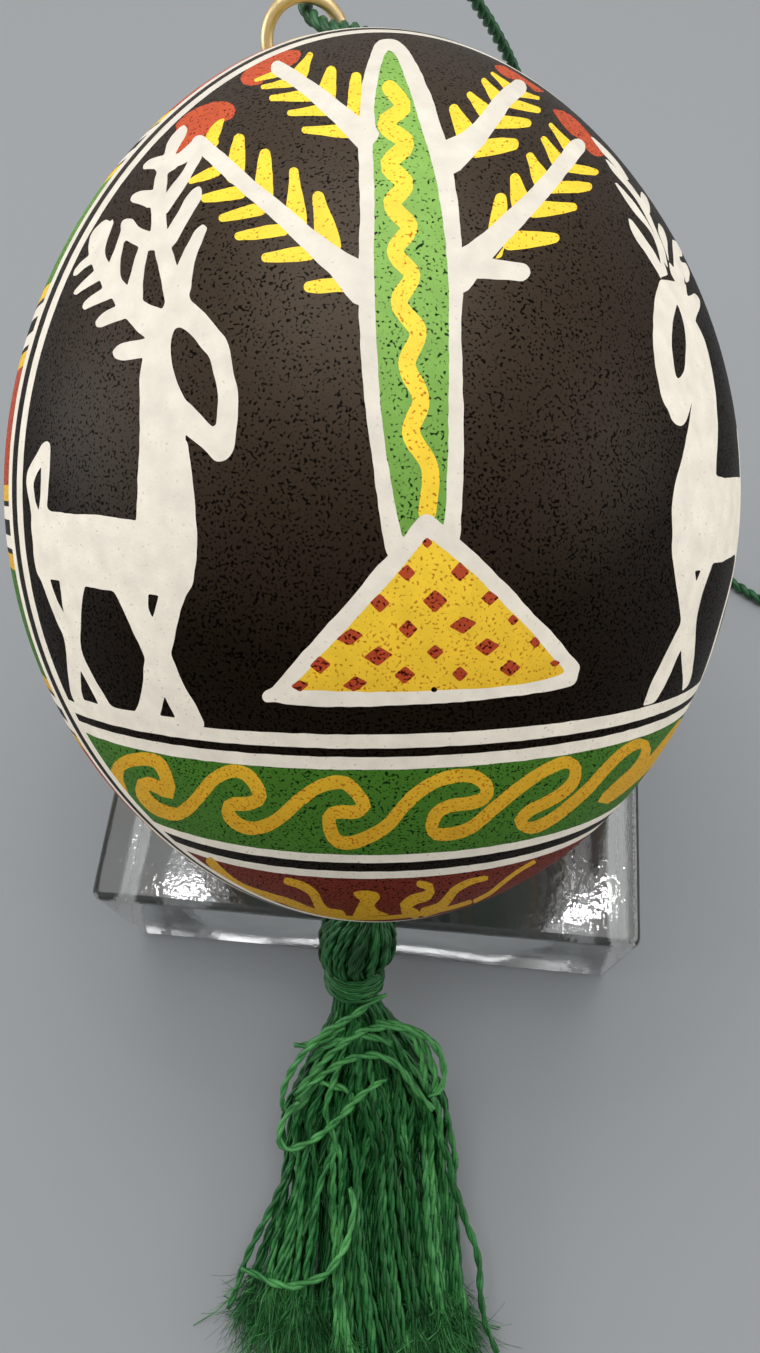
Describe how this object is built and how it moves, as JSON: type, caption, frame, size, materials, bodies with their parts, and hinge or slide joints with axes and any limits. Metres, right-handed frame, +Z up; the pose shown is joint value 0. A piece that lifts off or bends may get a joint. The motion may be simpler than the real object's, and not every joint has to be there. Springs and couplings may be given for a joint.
{
  "type": "decorated egg",
  "caption": "Blown and dyed egg with folk ornament, hung with a green thread tassel, a brass ring and a hanging cord, resting tilted on a clear block.",
  "frame": {"origin": "centre of the display block's underside, on the surface that it stands on", "axes": "+Z up; the tassel hangs and lies towards -Y; the egg's ring end rises towards +Y"},
  "size_m": [0.0737, 0.1102, 0.0651],
  "materials": {
    "eggshell": "dyed and varnished eggshell, satin",
    "clear_acrylic": "polished clear acrylic",
    "brass_wire": "bright wire",
    "green_cord": "twisted cotton",
    "green_thread": "two-ply pearl cotton"
  },
  "bodies": {
    "root": {"egg": "eggshell", "display_block": "clear_acrylic", "hanging_ring": "brass_wire", "hanging_cord": "green_cord", "cord_knot": "green_cord", "tassel_threads": "green_thread", "tassel_wrap": "green_thread"}
  },
  "joints": []
}
